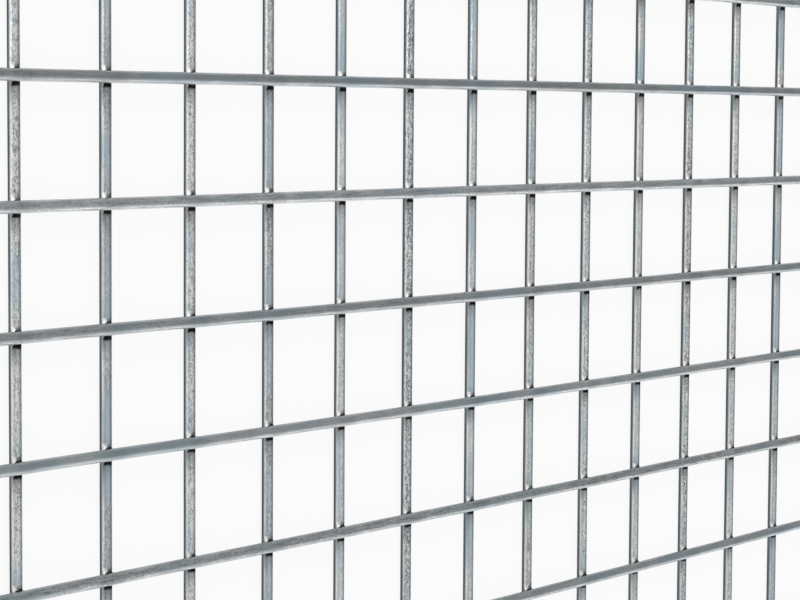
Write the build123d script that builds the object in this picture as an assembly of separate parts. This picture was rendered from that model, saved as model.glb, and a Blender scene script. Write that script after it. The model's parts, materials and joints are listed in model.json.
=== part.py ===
"""Flat sheet of galvanised welded wire mesh, lying level.

Straight wires cross at right angles and are welded at every crossing. The wires along X
are the upper layer, and the wires along Y are the lower one, which the sheet rests on.
All sizes are in millimetres. The origin is at the middle of the sheet, on the plane that
the lower wires rest on, and +Z is up.
"""

from build123d import *

import os

# Sheet, between the middles of its edge wires, made up to whole cells
SHEET_LENGTH = 914.4
SHEET_WIDTH = 609.6

# Wire
WIRE_DIAMETER = 2.5
WIRE_SIDES = 8

# Grid, between the middles of neighbouring wires
PITCH_X = 25.4
PITCH_Y = 25.4

# Weld: how deep the upper wires are pressed into the lower ones
WELD_SINK = 0.4

# Trimmed ends: how far each wire runs past the outside of the edge wire that it crosses
END_STUB = 2.0

# The sheet is one welded piece, kept as sections that meet midway between two wires
SECTION_NAMES = ("mesh_left", "mesh_middle", "mesh_right")

CELLS_X = round(SHEET_LENGTH / PITCH_X)
CELLS_Y = round(SHEET_WIDTH / PITCH_Y)
WIRE_RADIUS = WIRE_DIAMETER / 2
LOWER_HEIGHT = WIRE_RADIUS
UPPER_HEIGHT = LOWER_HEIGHT + WIRE_DIAMETER - WELD_SINK
END_X = CELLS_X * PITCH_X / 2 + WIRE_RADIUS + END_STUB
END_Y = CELLS_Y * PITCH_Y / 2 + WIRE_RADIUS + END_STUB


def wire_places(cells, pitch):
    """Where the middles of the wires lie across the sheet, about its centre."""
    return [(number - cells / 2) * pitch for number in range(cells + 1)]


def wire_section():
    """The wire's cross section, with a flat side underneath."""
    return RegularPolygon(
        radius=WIRE_RADIUS, side_count=WIRE_SIDES, major_radius=False, rotation=180 / WIRE_SIDES
    )


def upper_wire(y, start_x, end_x):
    """A wire along X, from start_x to end_x."""
    start = Plane(origin=(start_x, y, UPPER_HEIGHT), x_dir=(0, 1, 0), z_dir=(1, 0, 0))
    return extrude(start * wire_section(), end_x - start_x)


def lower_wire(x):
    """A wire along Y, from one trimmed edge of the sheet to the other."""
    start = Plane(origin=(x, -END_Y, LOWER_HEIGHT), x_dir=(1, 0, 0), z_dir=(0, 1, 0))
    return extrude(start * wire_section(), 2 * END_Y)


def section_counts():
    """How many lower wires each section holds, with the odd ones in the middle."""
    wires = CELLS_X + 1
    outer = wires // len(SECTION_NAMES)
    middle = wires - outer * (len(SECTION_NAMES) - 1)
    return [middle if number == len(SECTION_NAMES) // 2 else outer for number in range(len(SECTION_NAMES))]


def mesh_section(places, start_x, end_x):
    """The lower wires at these places, welded to their stretch of every upper wire."""
    lower = [lower_wire(x) for x in places]
    upper = [upper_wire(y, start_x, end_x) for y in wire_places(CELLS_Y, PITCH_Y)]
    return Part() + [*lower, *upper]


def main():
    os.makedirs("parts", exist_ok=True)
    places = wire_places(CELLS_X, PITCH_X)
    first = 0
    for name, count in zip(SECTION_NAMES, section_counts()):
        own = places[first : first + count]
        start_x = -END_X if first == 0 else own[0] - PITCH_X / 2
        first += count
        end_x = END_X if first == len(places) else own[-1] + PITCH_X / 2
        section = mesh_section(own, start_x, end_x)
        section.label = name
        export_step(section, f"parts/{name}.step")


main()
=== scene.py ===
"""The looks of a flat sheet of galvanised welded wire mesh, lying on a pale studio floor.

Each section of the sheet is one mesh: round wires in two layers, joined at every crossing by
a small weld of zinc and steel, with nipped ends where the shears cut them. All sizes are in
metres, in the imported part's own frame.
"""

import json
import math
import random

import bpy
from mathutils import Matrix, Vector


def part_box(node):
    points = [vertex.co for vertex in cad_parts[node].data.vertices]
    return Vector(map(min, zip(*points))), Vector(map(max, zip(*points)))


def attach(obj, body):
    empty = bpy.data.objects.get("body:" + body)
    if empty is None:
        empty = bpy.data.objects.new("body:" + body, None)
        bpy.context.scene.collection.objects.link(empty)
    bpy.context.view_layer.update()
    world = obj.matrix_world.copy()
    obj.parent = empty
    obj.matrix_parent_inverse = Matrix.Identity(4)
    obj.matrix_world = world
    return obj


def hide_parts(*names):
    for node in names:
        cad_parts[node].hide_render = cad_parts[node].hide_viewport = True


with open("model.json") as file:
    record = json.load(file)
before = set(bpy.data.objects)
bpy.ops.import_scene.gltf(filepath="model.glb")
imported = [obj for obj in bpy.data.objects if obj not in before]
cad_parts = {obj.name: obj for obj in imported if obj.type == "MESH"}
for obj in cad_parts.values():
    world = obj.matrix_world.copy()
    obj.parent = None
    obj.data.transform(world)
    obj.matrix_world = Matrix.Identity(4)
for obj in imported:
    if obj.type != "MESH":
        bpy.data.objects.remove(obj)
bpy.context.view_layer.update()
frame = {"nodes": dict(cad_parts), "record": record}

bl_info = {
    "name": "Welded wire mesh sheet",
    "version": (1, 0, 0),
    "blender": (4, 5, 0),
    "location": "View3D > Sidebar > Wire mesh",
    "description": "Builds the wires, welds and zinc of a welded mesh sheet, and its studio",
    "category": "Object",
}

BODY = "root"
MAP_NAME = "OFBake"
MM = 0.001

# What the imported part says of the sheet
SECTIONS = sorted(frame["nodes"], key=lambda node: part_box(node)[0].x)
MOUNTS = {mount["name"]: mount["pos_m"] for mount in frame["record"]["mounts"]}
EDGE_X = MOUNTS["edge_wire_right"][0]
EDGE_Y = MOUNTS["edge_wire_back"][1]
LOWER_HEIGHT = MOUNTS["edge_wire_right"][2]
UPPER_HEIGHT = MOUNTS["edge_wire_back"][2]

# How finely the shapes are divided
SIDES = 16
FACING_SIDES = SIDES // 2
STRETCH_STEPS = 4
WELD_STEPS = 3
WELD_TURNS = 2 * (FACING_SIDES + STRETCH_STEPS)
SHARP_ANGLE = math.radians(50)

# The surfaces of each piece, in the order of its material slots
UPPER, LOWER, WELD, CUT = range(4)

# How a wire strays, as shares of the most that it may: set aside, bowed over some cells, and uneven
STRAY_SEED = 2503
ASIDE = 0.5
BOW = 0.3
BOW_CELLS = (9, 16)
UNEVEN = 0.2

# The map of a piece: how much of its tile a stretch of wire fills, how far round the wire its weld
# lies, how much the weld's rows shrink toward their middle, and how large and how far along the
# wire a cut end's disc is
TILE_FILL = 0.96
WELD_AROUND = 0.25
WELD_SHRINK = 0.9
DISC_FILL = 0.3
DISC_ALONG = 1 / 3

# Patterns of the zinc: how fast its grains and drawn lines change along a wire, as a share of how
# fast they change across it, how large each pattern is, with the lumps in grains, and the two
# values that its noise steps between
GRAIN_DRAWING = 0.45
LINE_DRAWING = 0.04
LUMP_GRAINS = 3
LUMP_STEP = (0.35, 0.65)
LINE_WIDTH = 0.24 * MM
LINE_STEP = (0.3, 0.7)
PATCH_SIZE = 9 * MM
PATCH_STEP = (0.36, 0.66)
TINT_SIZE = 21 * MM
TINT_STEP = (0.45, 0.7)

# How one wire differs from the next: how far a wave turns between them, and where it starts
TONE_WAVE = (2.9, 2.1)
SMOOTH_WAVE = (2.35, 0.2)

# Brightness of plain zinc from 0, dark, to 1, pale, how much its speckle adds on the smoothest
# wires, how much of the speckle is lumps, and the least of the bluish tint, a painted reflection
PLAIN_ZINC = 0.4
SMOOTH_SPECKLE = 0.55
LUMP_SHARE = 0.2
LEAST_TINT = 0.4

# The speckle of each layer: how strong it is, and how much of it is drawn lines
UPPER_SPECKLE = 0.8
UPPER_LINES = 0.45
LOWER_SPECKLE = 1.3
LOWER_LINES = 0.15

# Where round a wire each edge lies, by how far the surface there faces up, or else toward the
# sheet's back or right: from -1 to 1. They bound the painted shade on downward-facing sides, the
# painted highlights along the sides, and the painted shade and painted dark band on the upper wires
UNDERSIDE_EDGE = (-0.1, 0.32)
FILM_EDGE = (0.0, 0.5)
UPPER_STRIP = (-0.9, -0.5)
LOWER_STRIP = (-0.98, -0.78)
BACK_STRIP = (0.65, 0.95)
DARK_BAND_START = (-0.65, -0.4)
DARK_BAND_END = (-0.2, 0.3)

# How much brighter the zinc is where the painted highlight runs along each wire's front or left side
UPPER_STRIP_GAIN = 0.1
LOWER_STRIP_GAIN = 0.5

# How much rougher the dull grains, the dull patches and the heated zinc are, and how rough the
# clear film is
GRAIN_DULLNESS = 0.12
PATCH_DULLNESS = 0.08
HEAT_DULLNESS = 0.05
FILM_ROUGHNESS = 0.2

# Relief of the zinc, as shares of its height: its patterns, and how much of them a smooth wire
# keeps and a rough one adds
LUMP_HEIGHT = 0.6
GRAIN_HEIGHT = 0.3
LINE_HEIGHT = 0.15
SMOOTH_RELIEF = 0.6
ROUGH_RELIEF = 0.5

# From the middle of a crossing: how far the welding's heat went, and along a lower wire the two
# ends of the near-black painted crevice shadow and of the painted shadow of the upper wire in
# front of the weld, and of the faint brownish spot, partly painted crevice shade, and the painted
# highlight behind it, with the highlight's right side, and how far the ends stray
HEAT_REACH = (1.2 * MM, 4.5 * MM)
BLACK_FRONT = (-2.5 * MM, -1.9 * MM)
SHADOW_FRONT = (-7.0 * MM, -1.8 * MM)
BLACK_BACK = (-1.0 * MM, 0.0)
FAINT_FRONT = (0.0, 1.0 * MM)
FAINT_BACK = (1.7 * MM, 2.3 * MM)
HIGHLIGHT_FRONT = (0.9 * MM, 1.2 * MM)
HIGHLIGHT_BACK = (1.9 * MM, 2.6 * MM)
HIGHLIGHT_RIGHT = (-0.95 * MM, -0.6 * MM)
RAGGED_EDGE = 0.7 * MM

# How far up the surface faces at the lower edge of the painted crevice shadow, brownish spot and
# highlight
BLACK_EDGE = (0.25, 0.45)
FAINT_EDGE = (0.5, 0.7)
HIGHLIGHT_EDGE = (0.0, 0.2)

# The corners of a weld, painted near black as crevice shade: the size of their zinc lumps, the noise
# at which they show pale zinc, how pale they are, and how much rougher than on the wires
WELD_LUMP = 0.5 * MM
WELD_PALE_STEP = (0.5, 0.75)
WELD_PALENESS = 0.5
WELD_DULLNESS = 0.15

# The steel of a cut end: the size of its torn lines, how fast they change from the top down, as a
# share of how fast they change across it, its roughness and what the tearing adds, and how many
# times as high as the zinc's its relief is
TORN_WIDTH = 0.2 * MM
TORN_DRAWING = 0.3
CUT_ROUGHNESS = 0.3
TORN_ROUGHNESS = 0.35
TORN_RELIEF = 2

# The floor's paper
PAPER_ROUGHNESS = 0.9
PAPER_GLOSS = 0.1

# How high the horizon's light ends and the ceiling's is full, as the upward part of a direction
CEILING_FADE = (0.05, 0.8)

# The two darker sides of the studio: where each lies, and how many degrees from there it is still
# full and is gone
CURTAIN_SIDE = (0.82, 0.4, 0.35)
CURTAIN_SPREAD = (36, 56)
ROOM_SIDE = (-0.9, -0.1, 0.35)
ROOM_SPREAD = (10, 50)

# Where each lamp stands, and its width and height
KEY_PLACE = (-1.75, 3.5, 1.5)
KEY_SIZE = (4.5, 2.5)
LOW_PLACE = (-4.4, 1.5, 0.7)
LOW_SIZE = (1.8, 0.9)
EDGE_PLACE = (3.75, -2.75, 0.9)
EDGE_SIZE = (2.5, 1.25)

# The camera's sensor in millimetres, and the distances that it sees between
SENSOR_WIDTH = 36
CAMERA_NEAR = 0.01
CAMERA_FAR = 100


def length(name, description, default, smallest=0.0):
    """A size in metres, as Blender shows it."""
    return bpy.props.FloatProperty(
        name=name, description=description, default=default, min=smallest, unit="LENGTH", precision=5
    )


def colour(name, description, default):
    """A colour without alpha, as Blender shows it."""
    return bpy.props.FloatVectorProperty(
        name=name, description=description, default=default, min=0, max=1, size=3, subtype="COLOR"
    )


def share(name, description, default):
    """A number from 0 to 1, as Blender shows it."""
    return bpy.props.FloatProperty(
        name=name, description=description, default=default, min=0, max=1, subtype="FACTOR"
    )


def power(name, description, default):
    """A lamp's power in watts, as Blender shows it."""
    return bpy.props.FloatProperty(name=name, description=description, default=default, unit="POWER")


class WireSizes(bpy.types.PropertyGroup):
    """The sizes of the wires and of the welds between them."""

    pitch: length("Pitch", "Between the middles of neighbouring wires", 25.4 * MM, 5 * MM)
    radius: length("Wire radius", "Half the thickness of the wire", LOWER_HEIGHT, 0.1 * MM)
    fillet: length("Weld fillet", "Radius of the hollow curve in a weld's corner", 0.35 * MM, 0.02 * MM)
    reach: length("Weld reach", "Half the stretch of wire that is modelled round a weld", 2.2 * MM, MM)
    stray: length("Stray", "How far a wire runs off its line", 0.14 * MM)
    nip: length("Nip", "How much of a cut end the shears have squeezed", 0.45 * MM)
    squeeze: share("Squeeze", "How much of its height a cut end keeps", 0.8)
    slant: length("Slant", "How far a cut runs off square", 0.22 * MM)


class ZincLooks(bpy.types.PropertyGroup):
    """The colours and the relief of the zinc, with the painted shade, highlights and reflection laid on
    it.
    """

    pale: colour("Pale zinc", "Bright grains and stretches of the coating", (0.84, 0.86, 0.87))
    dark: colour("Dark zinc", "Dull grains and stretches of the coating", (0.17, 0.19, 0.20))
    # Painted reflection: a bluish tint in patches
    painted_blue_reflection: colour("Cool zinc", "Bluish tint of some stretches", (0.44, 0.54, 0.59))
    # Painted shade: dark grey on the downward-facing sides of the wires
    painted_underside_shade: colour("Underside", "Dull grey of the zinc under the wires", (0.12, 0.13, 0.13))
    # Painted crevice shade, near black with a brownish tint, in and beside the welds
    crevice_shade_colour: colour("Burnt zinc", "Brownish black beside and in the welds", (0.016, 0.014, 0.012))
    # Painted highlight: near-white zinc behind the welds
    bare: colour("Bare zinc", "Clean zinc that ran out behind the welds", (0.96, 0.96, 0.95))
    steel: colour("Cut steel", "Bare metal of the cut ends", (0.42, 0.41, 0.40))
    roughness: share("Roughness", "How dull the brightest zinc is", 0.26)
    grain: length("Grain", "Width of the grains of the zinc", 0.19 * MM, 0.05 * MM)
    relief: length("Relief", "Height of the lumps of the zinc", 0.08 * MM)
    film: share("Film", "Strength of the clear film that keeps the zinc from dulling", 0.8)
    rim: colour("Rim", "Tint of what the upper wires reflect at their very edges", (0.95, 0.95, 0.95))
    dull_rim: colour("Dull rim", "The same tint for the lower wires", (0.42, 0.44, 0.45))
    tones: share("Tones", "How much brighter the brightest wires are than the darkest", 0.28)
    patches: share("Patches", "How much brighter the clean patches of a wire are", 0.16)
    # Painted highlight along the front side of the upper wires
    strip: share("Pale strip", "How pale the rubbed strip along the upper wires is", 0.3)
    # Painted shade on the far side of the upper wires
    back: share("Dull back", "How dark the far side of the upper wires is", 0.6)
    # Painted dark band along the upper wires, a dark reflection beside the highlight
    painted_dark_band: share("Die mark", "How dark the line drawn along the upper wires is", 0.35)
    heat: share("Heat", "How dark the heat of the welding left the zinc all round", 0.25)
    # Painted shadow of the upper wires on the lower ones in front of each weld
    painted_shadow: share("Smoke", "How dark the smoked stretch in front of a weld is", 0.5)
    # A brownish spot behind each weld, partly painted crevice shade
    faint: share("Faint spot", "How dark the brown spot behind a weld is", 0.6)
    # Strength of the painted highlight behind each weld
    clean: share("Clean patch", "How clean the zinc that ran out behind a weld is", 0.8)


class StudioLooks(bpy.types.PropertyGroup):
    """The floor, the lamps and the camera."""

    floor_colour: colour("Floor", "Colour of the floor", (0.94, 0.94, 0.94))
    floor_glow: share("Floor glow", "How much of the floor's white its shadows don't reach", 0.9)
    floor_size: length("Floor size", "Side of the square floor", 24.0, 2.0)
    horizon: colour("Horizon", "Light from low all round", (0.95, 0.95, 0.95))
    ceiling: colour("Ceiling", "Light from straight above", (0.78, 0.79, 0.80))
    curtain: colour("Curtain", "Light from the grey curtain past the right end", (0.31, 0.325, 0.33))
    room: colour("Room", "Light from the dim room past the left end", (0.50, 0.50, 0.51))
    key_power: power("Key lamp", "Power of the lamp beyond the sheet's back edge", 60)
    low_power: power("Low lamp", "Power of the low lamp beyond the sheet's left end", 38)
    edge_power: power("Edge lamp", "Power of the low lamp beyond the right front corner", 7)
    camera_place: bpy.props.FloatVectorProperty(
        name="Camera", description="Where the camera stands", default=(-0.47656, 0.0436, 0.35761),
        size=3, subtype="TRANSLATION", unit="LENGTH", precision=4,
    )
    camera_turn: bpy.props.FloatVectorProperty(
        name="Camera turn", description="Tip, swing and roll, turned in the order roll, tip, swing",
        default=(math.radians(-4.156), math.radians(-53.043), math.radians(0.368)),
        size=3, subtype="EULER",
    )
    lens: bpy.props.FloatProperty(
        name="Lens", description="Focal length on a sensor 36 mm wide", default=114.98, unit="CAMERA"
    )


def feed(node, name, value):
    """Give a node's socket a value, or the link of a field."""
    if isinstance(value, Field):
        value.tree.links.new(value.socket, node.inputs[name])
    else:
        node.inputs[name].default_value = value


class Field:
    """A node's output socket. Python's arithmetic on it adds Math nodes."""

    def __init__(self, tree, socket):
        self.tree = tree
        self.socket = socket

    @classmethod
    def node(cls, tree, kind, settings, sockets, output=0):
        """Add a node of any kind: its settings first, then the values or links of its sockets."""
        node = tree.nodes.new(kind)
        for name, value in settings.items():
            setattr(node, name, value)
        for name, value in sockets.items():
            feed(node, name, value)
        return cls(tree, node.outputs[output])

    def math(self, operation, *values):
        """This value, and others, put through one Math node."""
        sockets = dict(enumerate(values))
        return self.node(self.tree, "ShaderNodeMath", {"operation": operation}, sockets)

    def __add__(self, other):
        return self.math("ADD", self, other)

    def __radd__(self, other):
        return self.math("ADD", other, self)

    def __sub__(self, other):
        return self.math("SUBTRACT", self, other)

    def __rsub__(self, other):
        return self.math("SUBTRACT", other, self)

    def __mul__(self, other):
        return self.math("MULTIPLY", self, other)

    def __rmul__(self, other):
        return self.math("MULTIPLY", other, self)

    def stepped(self, low, high):
        """0 below low and 1 above high, with a soft step between them."""
        settings = {"interpolation_type": "SMOOTHSTEP"}
        return self.node(
            self.tree, "ShaderNodeMapRange", settings, {"Value": self, "From Min": low, "From Max": high}
        )

    def vector(self, operation, *others, output="Vector"):
        """This vector, and others, put through one Vector Math node."""
        sockets = dict(enumerate((self, *others)))
        return self.node(self.tree, "ShaderNodeVectorMath", {"operation": operation}, sockets, output)

    def length(self):
        """The length of this vector."""
        return self.vector("LENGTH", output="Value")

    def dot(self, other):
        """The dot product of this vector and another."""
        return self.vector("DOT_PRODUCT", other, output="Value")

    def part(self, axis):
        """One part of this vector, along X, Y or Z."""
        return self.node(self.tree, "ShaderNodeSeparateXYZ", {}, {"Vector": self}, output=axis)

    def drawn_out(self, axis, pace):
        """This place, with patterns drawn out along one axis, where they change only at this pace."""
        return self.vector("MULTIPLY", [pace if name == axis else 1.0 for name in "XYZ"])

    def wave(self, step, start):
        """A number from 0 to 1 that swings as this value grows."""
        turn = self * step + start
        return 0.5 + 0.5 * turn.math("SINE", turn)

    def noise(self, size, detail=2.0, roughness=0.5):
        """Soft noise at this place, from 0 to 1, with blobs of about this size in metres."""
        sockets = {"Vector": self, "Scale": 1 / size, "Detail": detail, "Roughness": roughness}
        return self.node(self.tree, "ShaderNodeTexNoise", {"noise_dimensions": "3D"}, sockets)

    def cells(self, size):
        """A number from 0 to 1 drawn for each grain, of grains about this size in metres."""
        settings = {"voronoi_dimensions": "3D", "feature": "F1"}
        sockets = {"Vector": self, "Scale": 1 / size}
        drawn = self.node(self.tree, "ShaderNodeTexVoronoi", settings, sockets, output="Color")
        return drawn.dot((1.0, 0.0, 0.0))


def rgba(rgb):
    """A colour with full alpha, as a colour socket takes it."""
    return (*rgb, 1.0)


def mixed(factor, first, second):
    """The first colour where the factor is 0, and the second where it is 1."""
    tree = factor.tree
    colours = [value if isinstance(value, Field) else rgba(value) for value in (first, second)]
    # Sockets 0, 6 and 7 of a Mix node are its factor and its two colours, and output 2 is its colour.
    sockets = {0: factor, 6: colours[0], 7: colours[1]}
    return Field.node(tree, "ShaderNodeMix", {"data_type": "RGBA"}, sockets, output=2)


def new_material(name):
    """An empty node material with one Principled shader, and that shader."""
    material = bpy.data.materials.new(name)
    material.use_nodes = True
    return material, material.node_tree.nodes["Principled BSDF"]


def make_metal(shader, base, roughness, height, relief):
    """Turn a shader into bare metal of this colour, roughness and relief."""
    sockets = {"Strength": 1.0, "Distance": relief, "Height": height}
    bump = Field.node(height.tree, "ShaderNodeBump", {}, sockets)
    feed(shader, "Metallic", 1.0)
    feed(shader, "Base Color", base)
    feed(shader, "Roughness", roughness)
    feed(shader, "Normal", bump)


def nearest_crossing(place, sizes, grid):
    """The numbers of the two wires that cross nearest to a point, and the level way from there to it."""
    corner = (grid.place_x(0), grid.place_y(0), 0.0)
    cells = place.vector("SUBTRACT", corner).vector("DIVIDE", (sizes.pitch, sizes.pitch, 1.0))
    numbers = cells.vector("ADD", (0.5, 0.5, 0.0)).vector("FLOOR")
    return numbers, cells.vector("SUBTRACT", numbers).vector("MULTIPLY", (sizes.pitch, sizes.pitch, 0.0))


class Coating:
    """The galvanised zinc on one layer of wires: its patterns, from 0 to 1, and what they make of it."""

    def __init__(self, tree, along, sizes, looks, grid):
        across = "X" if along == "Y" else "Y"
        place = Field.node(tree, "ShaderNodeTexCoord", {}, {}, output="Object")
        normal = Field(tree, place.socket.node.outputs["Normal"])
        self.looks = looks
        self.up = normal.part("Z")
        self.side = normal.part(across)

        drawn = place.drawn_out(along, GRAIN_DRAWING)
        self.grains = drawn.cells(looks.grain)
        self.lumps = drawn.noise(LUMP_GRAINS * looks.grain, roughness=0.6)
        self.lines = place.drawn_out(along, LINE_DRAWING).noise(LINE_WIDTH).stepped(*LINE_STEP)
        self.patches = place.noise(PATCH_SIZE).stepped(*PATCH_STEP)
        self.tints = place.noise(TINT_SIZE, detail=1.0).stepped(*TINT_STEP)

        numbers, self.offset = nearest_crossing(place, sizes, grid)
        number = numbers.part(across)
        self.tone = number.wave(*TONE_WAVE)
        self.smooth = number.wave(*SMOOTH_WAVE)
        self.rough = (1 - self.smooth) * (1 - self.smooth)
        self.heated = 1 - self.offset.length().stepped(*HEAT_REACH)

    def base(self, contrast, lines, strip):
        """Zinc colour: speckled, patchy, duller near welds, with painted highlight, reflection and
        shade.
        """
        looks = self.looks
        lumps = self.lumps.stepped(*LUMP_STEP)
        speckle = self.grains * (1 - LUMP_SHARE - lines) + self.lines * lines + lumps * LUMP_SHARE - 0.5
        brightness = PLAIN_ZINC + speckle * (SMOOTH_SPECKLE + self.rough) * contrast
        brightness = brightness + self.tone * looks.tones + self.patches * looks.patches
        base = mixed(brightness + strip, looks.dark, looks.pale)
        # Painted reflection of a bluish surround, in patches, strongest on the smoothest wires
        tint = self.tints * (LEAST_TINT + (1 - LEAST_TINT) * self.smooth)
        base = mixed(tint, base, looks.painted_blue_reflection)
        base = mixed(self.heated * looks.heat, base, looks.dark)
        # Painted shade: dark grey where the surface faces down
        return mixed(1 - self.up.stepped(*UNDERSIDE_EDGE), base, looks.painted_underside_shade)

    def film(self):
        """How strong the clear film is, which the undersides have lost."""
        return self.up.stepped(*FILM_EDGE) * self.looks.film

    def finish(self, shader, base, film, rim):
        """Turn a shader into zinc of this colour, with its roughness, its relief and its film."""
        dulled = (1 - self.grains) * GRAIN_DULLNESS + (1 - self.patches) * PATCH_DULLNESS
        roughness = self.looks.roughness + dulled + self.heated * HEAT_DULLNESS
        speckle = self.lumps * LUMP_HEIGHT + self.grains * GRAIN_HEIGHT
        height = speckle * (SMOOTH_RELIEF + ROUGH_RELIEF * self.rough) + self.lines * LINE_HEIGHT
        make_metal(shader, base, roughness, height, self.looks.relief)
        feed(shader, "Specular Tint", rgba(rim))
        feed(shader, "Coat Roughness", FILM_ROUGHNESS)
        feed(shader, "Coat Weight", film)


def upper_wire_zinc(sizes, looks, grid):
    """The zinc of the upper wires, streaky, with a painted highlight, dark band and shade on their
    sides.
    """
    material, shader = new_material("upper_wire_zinc")
    coating = Coating(material.node_tree, "X", sizes, looks, grid)
    side = coating.side
    # Painted highlight along the side that faces the sheet's front
    strip = 1 - side.stepped(*UPPER_STRIP)
    # Painted dark band, a dark reflection beside the pale front side
    painted_dark_band = side.stepped(*DARK_BAND_START) * (1 - side.stepped(*DARK_BAND_END))
    base = coating.base(UPPER_SPECKLE, UPPER_LINES, strip * UPPER_STRIP_GAIN)
    # Painted shade on the far side of the upper wires
    base = mixed(side.stepped(*BACK_STRIP) * looks.back, base, looks.dark)
    # The painted highlight, pale along the front side
    base = mixed(strip * looks.strip, base, looks.pale)
    base = mixed(painted_dark_band * looks.painted_dark_band, base, looks.dark)
    coating.finish(shader, base, coating.film(), looks.rim)
    return material


def painted_weld_shading(coating):
    """Painted crevice and wire shadow in front of a weld; a brownish spot and a painted highlight
    behind.
    """
    x = coating.offset.part("X")
    y = coating.offset.part("Y")
    up = coating.up
    ragged = y + (coating.lumps - 0.5) * RAGGED_EDGE
    in_front = 1 - y.stepped(*BLACK_BACK)
    # Near-black painted crevice shadow on the top of the lower wire in front of the weld
    black = up.stepped(*BLACK_EDGE) * ragged.stepped(*BLACK_FRONT) * in_front
    # Painted shadow of the upper wire over a few millimetres in front of the weld
    painted_shadow = ragged.stepped(*SHADOW_FRONT) * in_front
    # A faint brownish spot behind the weld, partly painted crevice shade
    faint = (1 - ragged.stepped(*FAINT_BACK)) * y.stepped(*FAINT_FRONT) * up.stepped(*FAINT_EDGE)
    # Painted highlight behind the weld, on the lower wire's left side
    clean = (1 - ragged.stepped(*HIGHLIGHT_BACK)) * y.stepped(*HIGHLIGHT_FRONT)
    clean = clean * (1 - x.stepped(*HIGHLIGHT_RIGHT)) * up.stepped(*HIGHLIGHT_EDGE)
    return black, painted_shadow, faint, clean


def lower_wire_zinc(sizes, looks, grid):
    """The lower wires' zinc, coarsely grained, with painted shade and highlights at welds and left side.
    """
    material, shader = new_material("lower_wire_zinc")
    coating = Coating(material.node_tree, "Y", sizes, looks, grid)
    black, painted_shadow, faint, clean = painted_weld_shading(coating)
    # Painted highlight along the side that faces left, in place of lamp light
    strip = 1 - coating.side.stepped(*LOWER_STRIP)
    base = coating.base(LOWER_SPECKLE, LOWER_LINES, strip * LOWER_STRIP_GAIN)
    # Painted shadow of the upper wire in front of the weld
    base = mixed(painted_shadow * looks.painted_shadow, base, looks.dark)
    # Near-black painted crevice shadow
    base = mixed(black, base, looks.crevice_shade_colour)
    # Faint brownish spot, partly painted crevice shade
    base = mixed(faint * looks.faint, base, looks.crevice_shade_colour)
    # Painted highlight behind the weld
    base = mixed(clean * looks.clean, base, looks.bare)
    coating.finish(shader, base, coating.film() * (1 - black), looks.dull_rim)
    return material


def weld_zinc(looks):
    """The lumpy zinc in the corners of a weld, painted near black as crevice shade, with pale lumps."""
    material, shader = new_material("weld_zinc")
    place = Field.node(material.node_tree, "ShaderNodeTexCoord", {}, {}, output="Object")
    lumps = place.noise(WELD_LUMP, detail=3.0, roughness=0.6)
    # Painted crevice shade, near black, with lumps of pale zinc
    base = mixed(lumps.stepped(*WELD_PALE_STEP) * WELD_PALENESS, looks.crevice_shade_colour, looks.pale)
    make_metal(shader, base, looks.roughness + WELD_DULLNESS, lumps, looks.relief)
    return material


def cut_steel(looks):
    """The bare, torn face of a sheared end."""
    material, shader = new_material("cut_steel")
    place = Field.node(material.node_tree, "ShaderNodeTexCoord", {}, {}, output="Object")
    torn = place.drawn_out("Z", TORN_DRAWING).noise(TORN_WIDTH, detail=3.0, roughness=0.7)
    base = mixed(torn, looks.dark, looks.steel)
    roughness = CUT_ROUGHNESS + torn * TORN_ROUGHNESS
    make_metal(shader, base, roughness, torn, TORN_RELIEF * looks.relief)
    return material


class Grid:
    """Where the wires of the sheet run, each a little off its line, as in any real sheet."""

    def __init__(self, sizes):
        self.pitch = sizes.pitch
        self.columns = round(2 * EDGE_X / sizes.pitch) + 1
        self.rows = round(2 * EDGE_Y / sizes.pitch) + 1
        draw = random.Random(STRAY_SEED)
        self.stray_x = [self.strays(draw, self.rows, sizes.stray) for _ in range(self.columns)]
        self.stray_y = [self.strays(draw, self.columns, sizes.stray) for _ in range(self.rows)]

    @staticmethod
    def strays(draw, crossings, most):
        """How far one wire is off its line at each crossing: set aside, gently bowed and uneven."""
        aside = draw.uniform(-ASIDE, ASIDE)
        start = draw.uniform(0, math.tau)
        cells = draw.uniform(*BOW_CELLS)
        found = []
        for number in range(crossings):
            bow = BOW * math.sin(start + number * math.tau / cells)
            found.append(most * (aside + bow + draw.uniform(-UNEVEN, UNEVEN)))
        return found

    def place_x(self, column):
        """The line of a lower wire."""
        return (column - (self.columns - 1) / 2) * self.pitch

    def place_y(self, row):
        """The line of an upper wire."""
        return (row - (self.rows - 1) / 2) * self.pitch

    def crossing(self, column, row):
        """The middle of a crossing, seen from above."""
        return (
            self.place_x(column) + self.stray_x[column][row],
            self.place_y(row) + self.stray_y[row][column],
        )


def lower_place(middle, across, along, toward):
    """A point measured from a lower wire, which runs along Y, with the weld above it."""
    return Vector((middle[0] + across, middle[1] + along, LOWER_HEIGHT + toward))


def upper_place(middle, across, along, toward):
    """A point measured from an upper wire, which runs along X, with the weld below it."""
    return Vector((middle[0] + along, middle[1] + across, UPPER_HEIGHT - toward))


PLACES = {LOWER: lower_place, UPPER: upper_place}


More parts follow.
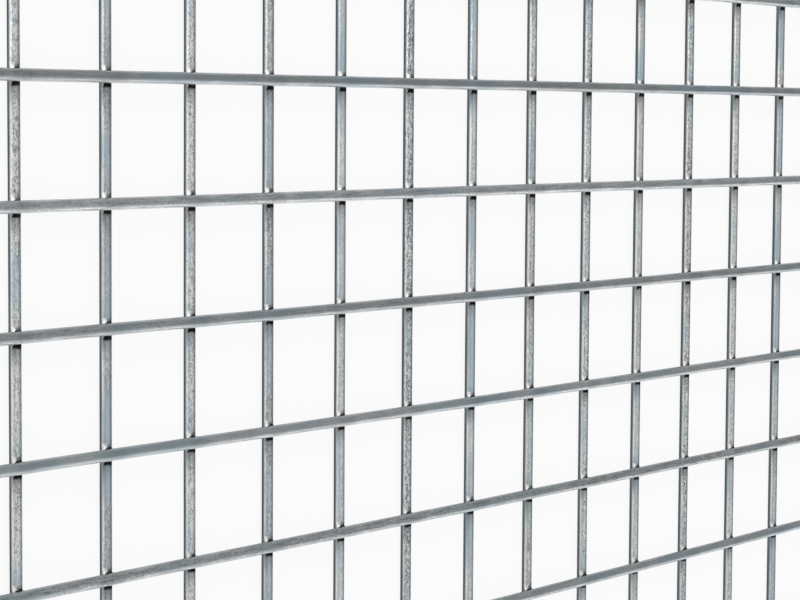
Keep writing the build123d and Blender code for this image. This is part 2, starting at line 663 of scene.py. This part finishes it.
class Skin:
    """The vertices and faces of one section as they are laid, with their places on its map.

    A spot is a vertex and its place on the map. A row is a list of spots, and two rows of
    equal length are joined by four-sided faces.
    """

    def __init__(self, sizes, tiles):
        self.sizes = sizes
        self.tile_columns = math.ceil(math.sqrt(tiles * math.tau * sizes.radius / sizes.pitch))
        self.tile_rows = math.ceil(tiles / self.tile_columns)
        self.points = []
        self.faces = []
        self.map_places = []
        self.surfaces = []

    def on_map(self, tile, along, around):
        """A place on a tile of the map, from how far along the wire and around it a point is."""
        u = tile % self.tile_columns + 0.5 + TILE_FILL * along / self.sizes.pitch
        v = tile // self.tile_columns + 0.5 + TILE_FILL * (around - 0.5)
        return u / self.tile_columns, v / self.tile_rows

    def vertex(self, point):
        """A new vertex, by its number."""
        self.points.append(point)
        return len(self.points) - 1

    def join(self, first, second, surface):
        """Fill the strip between two rows."""
        for corners in zip(first, first[1:], second[1:], second):
            self.face(corners, surface)

    def face(self, corners, surface):
        """One face through these spots."""
        self.faces.append([vertex for vertex, _ in corners])
        self.map_places.extend(place for _, place in corners)
        self.surfaces.append(surface)

    def hoop(self, surface, middle, along, first_side=0, height=1.0, slant=0.0):
        """New vertices round a wire, from first_side round to the wire's far side."""
        place = PLACES[surface]
        found = []
        for side in range(first_side, SIDES + bool(first_side)):
            turn = math.tau * side / SIDES - math.pi / 2
            across = self.sizes.radius * math.sin(turn)
            toward = self.sizes.radius * math.cos(turn) * height
            tilt = slant * toward / self.sizes.radius
            found.append(self.vertex(place(middle, across, along + tilt, toward)))
        return found

    def row(self, vertices, tile, along, first_side=0):
        """The spots of a hoop on one tile, closed where the hoop goes all the way round."""
        if not first_side:
            vertices = [*vertices, vertices[0]]
        return [
            (vertex, self.on_map(tile, along, (first_side + number) / SIDES))
            for number, vertex in enumerate(vertices)
        ]

    def weld_ball(self, turn):
        """Middle of the ball that rolls round a weld and touches both wires, measured from one wire."""
        # It lies as far as reach from the middle lines of both wires. That gives a quadratic equation
        # in spread, the square of how far out from the crossing it is, seen from above.
        gap = UPPER_HEIGHT - LOWER_HEIGHT
        reach = self.sizes.radius + self.sizes.fillet
        room = reach**2 - gap**2 / 4
        tilt = math.cos(2 * turn) / gap
        spread = 2 * room / (0.5 + math.sqrt(0.25 + tilt**2 * room))
        out = math.sqrt(spread)
        return out * math.cos(turn), out * math.sin(turn), (gap - tilt * spread) / 2

    def stretch(self, surface, middle, tile):
        """A wire's stretch at a crossing, open at the weld: its two end hoops and the weld's edge."""
        sizes = self.sizes
        alongs = [sizes.reach * (2 * step / STRETCH_STEPS - 1) for step in range(STRETCH_STEPS + 1)]
        rows = []
        for along in alongs:
            first_side = 0 if abs(along) == sizes.reach else FACING_SIDES
            hoop = self.hoop(surface, middle, along, first_side)
            rows.append(self.row(hoop, tile, along, first_side))
        for near, far in zip(rows, rows[1:]):
            self.join(near[-FACING_SIDES - 1 :], far[-FACING_SIDES - 1 :], surface)

        # Once round the opening from the middle of its plus side, the way that the weld's edge runs
        half = STRETCH_STEPS // 2
        plus_side = [row[-FACING_SIDES - 1] for row in rows]
        minus_side = [(row[-1][0], self.on_map(tile, along, 0)) for row, along in zip(rows, alongs)]
        rim = [
            *plus_side[half:-1],
            *rows[-1][FACING_SIDES::-1],
            *minus_side[-2:0:-1],
            *rows[0][: FACING_SIDES + 1],
            *plus_side[1 : half + 1],
        ]
        edge = []
        share_of_ball = sizes.radius / (sizes.radius + sizes.fillet)
        for number in range(WELD_TURNS):
            across, along, toward = self.weld_ball(math.tau * number / WELD_TURNS)
            point = PLACES[surface](middle, across * share_of_ball, along, toward * share_of_ball)
            around = WELD_AROUND + math.atan2(across, toward) / math.tau
            edge.append((self.vertex(point), self.on_map(tile, along, around)))
        self.join(rim, [*edge, edge[0]], surface)
        return rows[0], rows[-1], edge

    def weld(self, middle, tile, lower_edge, upper_edge):
        """The hollow curve of zinc between the edges of the weld on the two wires."""
        # Measured from the upper wire, the same turns start a quarter round and run the other way.
        quarter = WELD_TURNS // 4
        upper = [upper_edge[(quarter - number) % WELD_TURNS] for number in range(WELD_TURNS)]
        centre = self.on_map(tile, 0, WELD_AROUND)
        rows = [lower_edge]
        for step in range(1, WELD_STEPS + 1):
            part = step / WELD_STEPS
            row = []
            for number, (start, place) in enumerate(lower_edge):
                shrunk = [c + (p - c) * (1 - WELD_SHRINK * part) for p, c in zip(place, centre)]
                end = upper[number][0]
                if step == WELD_STEPS:
                    row.append((end, shrunk))
                    continue
                ball = lower_place(middle, *self.weld_ball(math.tau * number / WELD_TURNS))
                first, last = [(self.points[vertex] - ball).normalized() for vertex in (start, end)]
                out = first.slerp(last, part) * self.sizes.fillet
                row.append((self.vertex(ball + out), shrunk))
            rows.append(row)
        for near, far in zip(rows, rows[1:]):
            self.join([*near, near[0]], [*far, far[0]], WELD)

    def cap(self, hoop, tile, along, surface, backward):
        """A flat end over a hoop, laid out as a small disc on the map."""
        u, v = self.on_map(tile, along, WELD_AROUND)
        size = DISC_FILL * TILE_FILL
        corners = []
        for number, vertex in enumerate(hoop):
            turn = math.tau * number / SIDES
            place = (
                u + size * self.sizes.radius / self.sizes.pitch * math.cos(turn) / self.tile_columns,
                v + size / math.tau * math.sin(turn) / self.tile_rows,
            )
            corners.append((vertex, place))
        self.face(corners[::-1] if backward else corners, surface)

    def cut_end(self, surface, middle, tile, start_row, end, slant):
        """A wire's free end, from a crossing's hoop to the face that the shears left."""
        sizes = self.sizes
        backward = end < 0
        way = -1 if backward else 1
        neck = end - way * sizes.nip
        tip = end - way * abs(slant)
        neck_hoop = self.hoop(surface, middle, neck)
        tip_hoop = self.hoop(surface, middle, tip, height=sizes.squeeze, slant=slant)
        rows = [start_row, self.row(neck_hoop, tile, neck), self.row(tip_hoop, tile, tip)]
        if backward:
            rows.reverse()
        for near, far in zip(rows, rows[1:]):
            self.join(near, far, surface)
        self.cap(tip_hoop, tile, way * sizes.pitch * DISC_ALONG, CUT, backward)

    def mesh(self, name, materials):
        """The finished mesh."""
        mesh = bpy.data.meshes.new(name)
        mesh.from_pydata(self.points, [], self.faces)
        layer = mesh.uv_layers.new(name=MAP_NAME)
        layer.uv.foreach_set("vector", [number for place in self.map_places for number in place])
        for material in materials:
            mesh.materials.append(material)
        mesh.polygons.foreach_set("material_index", self.surfaces)
        mesh.shade_smooth()
        mesh.set_sharp_from_angle(angle=SHARP_ANGLE)
        mesh.update()
        return mesh


def section_columns(grid, node):
    """The numbers of the lower wires that a packed section holds."""
    low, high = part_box(node)
    return [column for column in range(grid.columns) if low.x < grid.place_x(column) < high.x]


def build_section(node, sizes, grid, materials):
    """One section of the sheet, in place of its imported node."""
    columns = section_columns(grid, node)
    low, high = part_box(node)
    draw = random.Random(columns[0])
    skin = Skin(sizes, 2 * len(columns) * grid.rows)
    tiles = {}
    stretches = {}
    for column in columns:
        for row in range(grid.rows):
            middle = grid.crossing(column, row)
            edges = {}
            for surface in (LOWER, UPPER):
                tile = tiles[surface, column, row] = len(tiles)
                start, end, edges[surface] = skin.stretch(surface, middle, tile)
                stretches[surface, column, row] = (start, end)
            skin.weld(middle, tiles[LOWER, column, row], edges[LOWER], edges[UPPER])

    def span(surface, first, second, halfway):
        """The plain wire between two crossings, each half on its own crossing's tile."""
        hoop = skin.hoop(surface, halfway, 0)
        half = sizes.pitch / 2
        skin.join(stretches[first][1], skin.row(hoop, tiles[first], half), surface)
        skin.join(skin.row(hoop, tiles[second], -half), stretches[second][0], surface)

    def free_end(surface, crossing, end):
        """A cut end just past a crossing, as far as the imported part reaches."""
        _, column, row = crossing
        middle = grid.crossing(column, row)
        axis = 1 if surface == LOWER else 0
        reach = end - middle[axis]
        start_row = stretches[crossing][0 if reach < 0 else 1]
        slant = draw.uniform(-1, 1) * sizes.slant
        skin.cut_end(surface, middle, tiles[crossing], start_row, reach, slant)

    def section_end(crossing, neighbour, halfway):
        """An upper wire's end on the plane where two sections meet."""
        hoop = skin.hoop(UPPER, halfway, 0)
        backward = neighbour < crossing[1]
        half = -sizes.pitch / 2 if backward else sizes.pitch / 2
        rows = [stretches[crossing][0 if backward else 1], skin.row(hoop, tiles[crossing], half)]
        if backward:
            rows.reverse()
        skin.join(*rows, UPPER)
        skin.cap(hoop, tiles[crossing], 0, UPPER, backward)

    for column in columns:
        for row in range(grid.rows - 1):
            stray = (grid.stray_x[column][row] + grid.stray_x[column][row + 1]) / 2
            halfway = (grid.place_x(column) + stray, grid.place_y(row + 0.5))
            span(LOWER, (LOWER, column, row), (LOWER, column, row + 1), halfway)
        free_end(LOWER, (LOWER, column, 0), low.y)
        free_end(LOWER, (LOWER, column, grid.rows - 1), high.y)

    for row in range(grid.rows):
        strays = grid.stray_y[row]
        for column in range(columns[0] - 1, columns[-1] + 1):
            if column < 0 or column + 1 == grid.columns:
                continue
            stray = (strays[column] + strays[column + 1]) / 2
            halfway = (grid.place_x(column + 0.5), grid.place_y(row) + stray)
            if column < columns[0]:
                section_end((UPPER, columns[0], row), column, halfway)
            elif column == columns[-1]:
                section_end((UPPER, column, row), column + 1, halfway)
            else:
                span(UPPER, (UPPER, column, row), (UPPER, column + 1, row), halfway)
        if columns[0] == 0:
            free_end(UPPER, (UPPER, 0, row), low.x)
        if columns[-1] == grid.columns - 1:
            free_end(UPPER, (UPPER, columns[-1], row), high.x)

    name = f"{node}_wires"
    piece = bpy.data.objects.new(name, skin.mesh(name, materials))
    bpy.context.scene.collection.objects.link(piece)
    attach(piece, BODY)
    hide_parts(node)


def floor_paper(studio):
    """White paper that shows partly as its own white, so that shadows on it stay faint."""
    material, shader = new_material("studio_floor")
    tree = material.node_tree
    feed(shader, "Base Color", rgba(studio.floor_colour))
    feed(shader, "Roughness", PAPER_ROUGHNESS)
    feed(shader, "Specular IOR Level", PAPER_GLOSS)
    seen = Field.node(tree, "ShaderNodeLightPath", {}, {}, output="Is Camera Ray")
    rays = seen.socket.node.outputs
    for name in ("Is Glossy Ray", "Is Transmission Ray"):
        seen = seen.math("MAXIMUM", seen, Field(tree, rays[name]))
    white = Field.node(tree, "ShaderNodeEmission", {}, {"Strength": 1.0})
    sockets = {0: seen * studio.floor_glow, 1: Field(tree, shader.outputs[0]), 2: white}
    surface = Field.node(tree, "ShaderNodeMixShader", {}, sockets)
    feed(tree.nodes["Material Output"], "Surface", surface)
    return material


def build_floor(studio):
    """A plain square floor that the sheet lies on."""
    half = studio.floor_size / 2
    corners = [(-half, -half, 0), (half, -half, 0), (half, half, 0), (-half, half, 0)]
    mesh = bpy.data.meshes.new("studio_floor")
    mesh.from_pydata(corners, [], [(0, 1, 2, 3)])
    mesh.materials.append(floor_paper(studio))
    floor = bpy.data.objects.new("studio_floor", mesh)
    bpy.context.scene.collection.objects.link(floor)


def add_lamp(name, watts, place, size):
    """A soft rectangular lamp that points at the middle of the sheet."""
    light = bpy.data.lights.new(name, "AREA")
    light.shape = "RECTANGLE"
    light.size, light.size_y = size
    light.energy = watts
    lamp = bpy.data.objects.new(name, light)
    lamp.location = place
    lamp.rotation_euler = (-Vector(place)).to_track_quat("-Z", "Y").to_euler()
    bpy.context.scene.collection.objects.link(lamp)


def light_world(studio):
    """Even light all round, but for a grey curtain past the right end and a dim room past the left."""
    world = bpy.data.worlds.new("studio")
    world.use_nodes = True
    tree = world.node_tree
    direction = Field.node(tree, "ShaderNodeTexCoord", {}, {}, output="Generated")
    sky = mixed(direction.part("Z").stepped(*CEILING_FADE), studio.horizon, studio.ceiling)
    for side, (full, gone), light in (
        (CURTAIN_SIDE, CURTAIN_SPREAD, studio.curtain),
        (ROOM_SIDE, ROOM_SPREAD, studio.room),
    ):
        nearness = direction.dot(Vector(side).normalized())
        within = nearness.stepped(math.cos(math.radians(gone)), math.cos(math.radians(full)))
        sky = mixed(within, sky, light)
    feed(tree.nodes["Background"], "Color", sky)
    bpy.context.scene.world = world


def set_camera(studio):
    """The camera, looking down along the sheet from its left end."""
    camera = bpy.data.cameras.new("camera")
    camera.sensor_width = SENSOR_WIDTH
    camera.lens = studio.lens
    camera.clip_start = CAMERA_NEAR
    camera.clip_end = CAMERA_FAR
    holder = bpy.data.objects.new("camera", camera)
    holder.location = studio.camera_place
    holder.rotation_mode = "ZXY"
    holder.rotation_euler = studio.camera_turn
    bpy.context.scene.collection.objects.link(holder)
    bpy.context.scene.camera = holder


class WIREMESH_OT_sections(bpy.types.Operator):
    """Build the wires and welds of every section of the sheet"""

    bl_idname = "wiremesh.sections"
    bl_label = "Build the sections"

    def execute(self, context):
        sizes = context.scene.wire_sizes
        looks = context.scene.zinc_looks
        grid = Grid(sizes)
        materials = [
            upper_wire_zinc(sizes, looks, grid),
            lower_wire_zinc(sizes, looks, grid),
            weld_zinc(looks),
            cut_steel(looks),
        ]
        for node in SECTIONS:
            build_section(node, sizes, grid, materials)
        return {"FINISHED"}


class WIREMESH_OT_studio(bpy.types.Operator):
    """Set up the floor, the lamps and the camera"""

    bl_idname = "wiremesh.studio"
    bl_label = "Set up the studio"

    def execute(self, context):
        studio = context.scene.studio_looks
        build_floor(studio)
        light_world(studio)
        add_lamp("key_lamp", studio.key_power, KEY_PLACE, KEY_SIZE)
        add_lamp("low_lamp", studio.low_power, LOW_PLACE, LOW_SIZE)
        add_lamp("edge_lamp", studio.edge_power, EDGE_PLACE, EDGE_SIZE)
        set_camera(studio)
        context.scene.view_settings.view_transform = "Standard"
        return {"FINISHED"}


class WIREMESH_PT_panel(bpy.types.Panel):
    """The steps that build the sheet, with the sizes and looks that they use"""

    bl_idname = "WIREMESH_PT_panel"
    bl_label = "Wire mesh"
    bl_space_type = "VIEW_3D"
    bl_region_type = "UI"
    bl_category = "Wire mesh"

    def draw(self, context):
        for step, settings in STEPS:
            box = self.layout.box()
            for name in settings:
                group = getattr(context.scene, name)
                for value in group.__annotations__:
                    box.prop(group, value)
            box.operator(step.bl_idname)


STEPS = (
    (WIREMESH_OT_sections, ("wire_sizes", "zinc_looks")),
    (WIREMESH_OT_studio, ("studio_looks",)),
)
GROUPS = {"wire_sizes": WireSizes, "zinc_looks": ZincLooks, "studio_looks": StudioLooks}
CLASSES = (*GROUPS.values(), WIREMESH_OT_sections, WIREMESH_OT_studio, WIREMESH_PT_panel)


def register():
    """Make the settings, the operators and the panel known to Blender."""
    for item in CLASSES:
        bpy.utils.register_class(item)
    for name, group in GROUPS.items():
        setattr(bpy.types.Scene, name, bpy.props.PointerProperty(type=group))


def unregister():
    """Take them away again."""
    for name in GROUPS:
        delattr(bpy.types.Scene, name)
    for item in reversed(CLASSES):
        bpy.utils.unregister_class(item)


def main():
    """Build the sheet and its studio."""
    register()
    bpy.ops.wiremesh.sections()
    bpy.ops.wiremesh.studio()


if __name__ == "__main__":
    main()
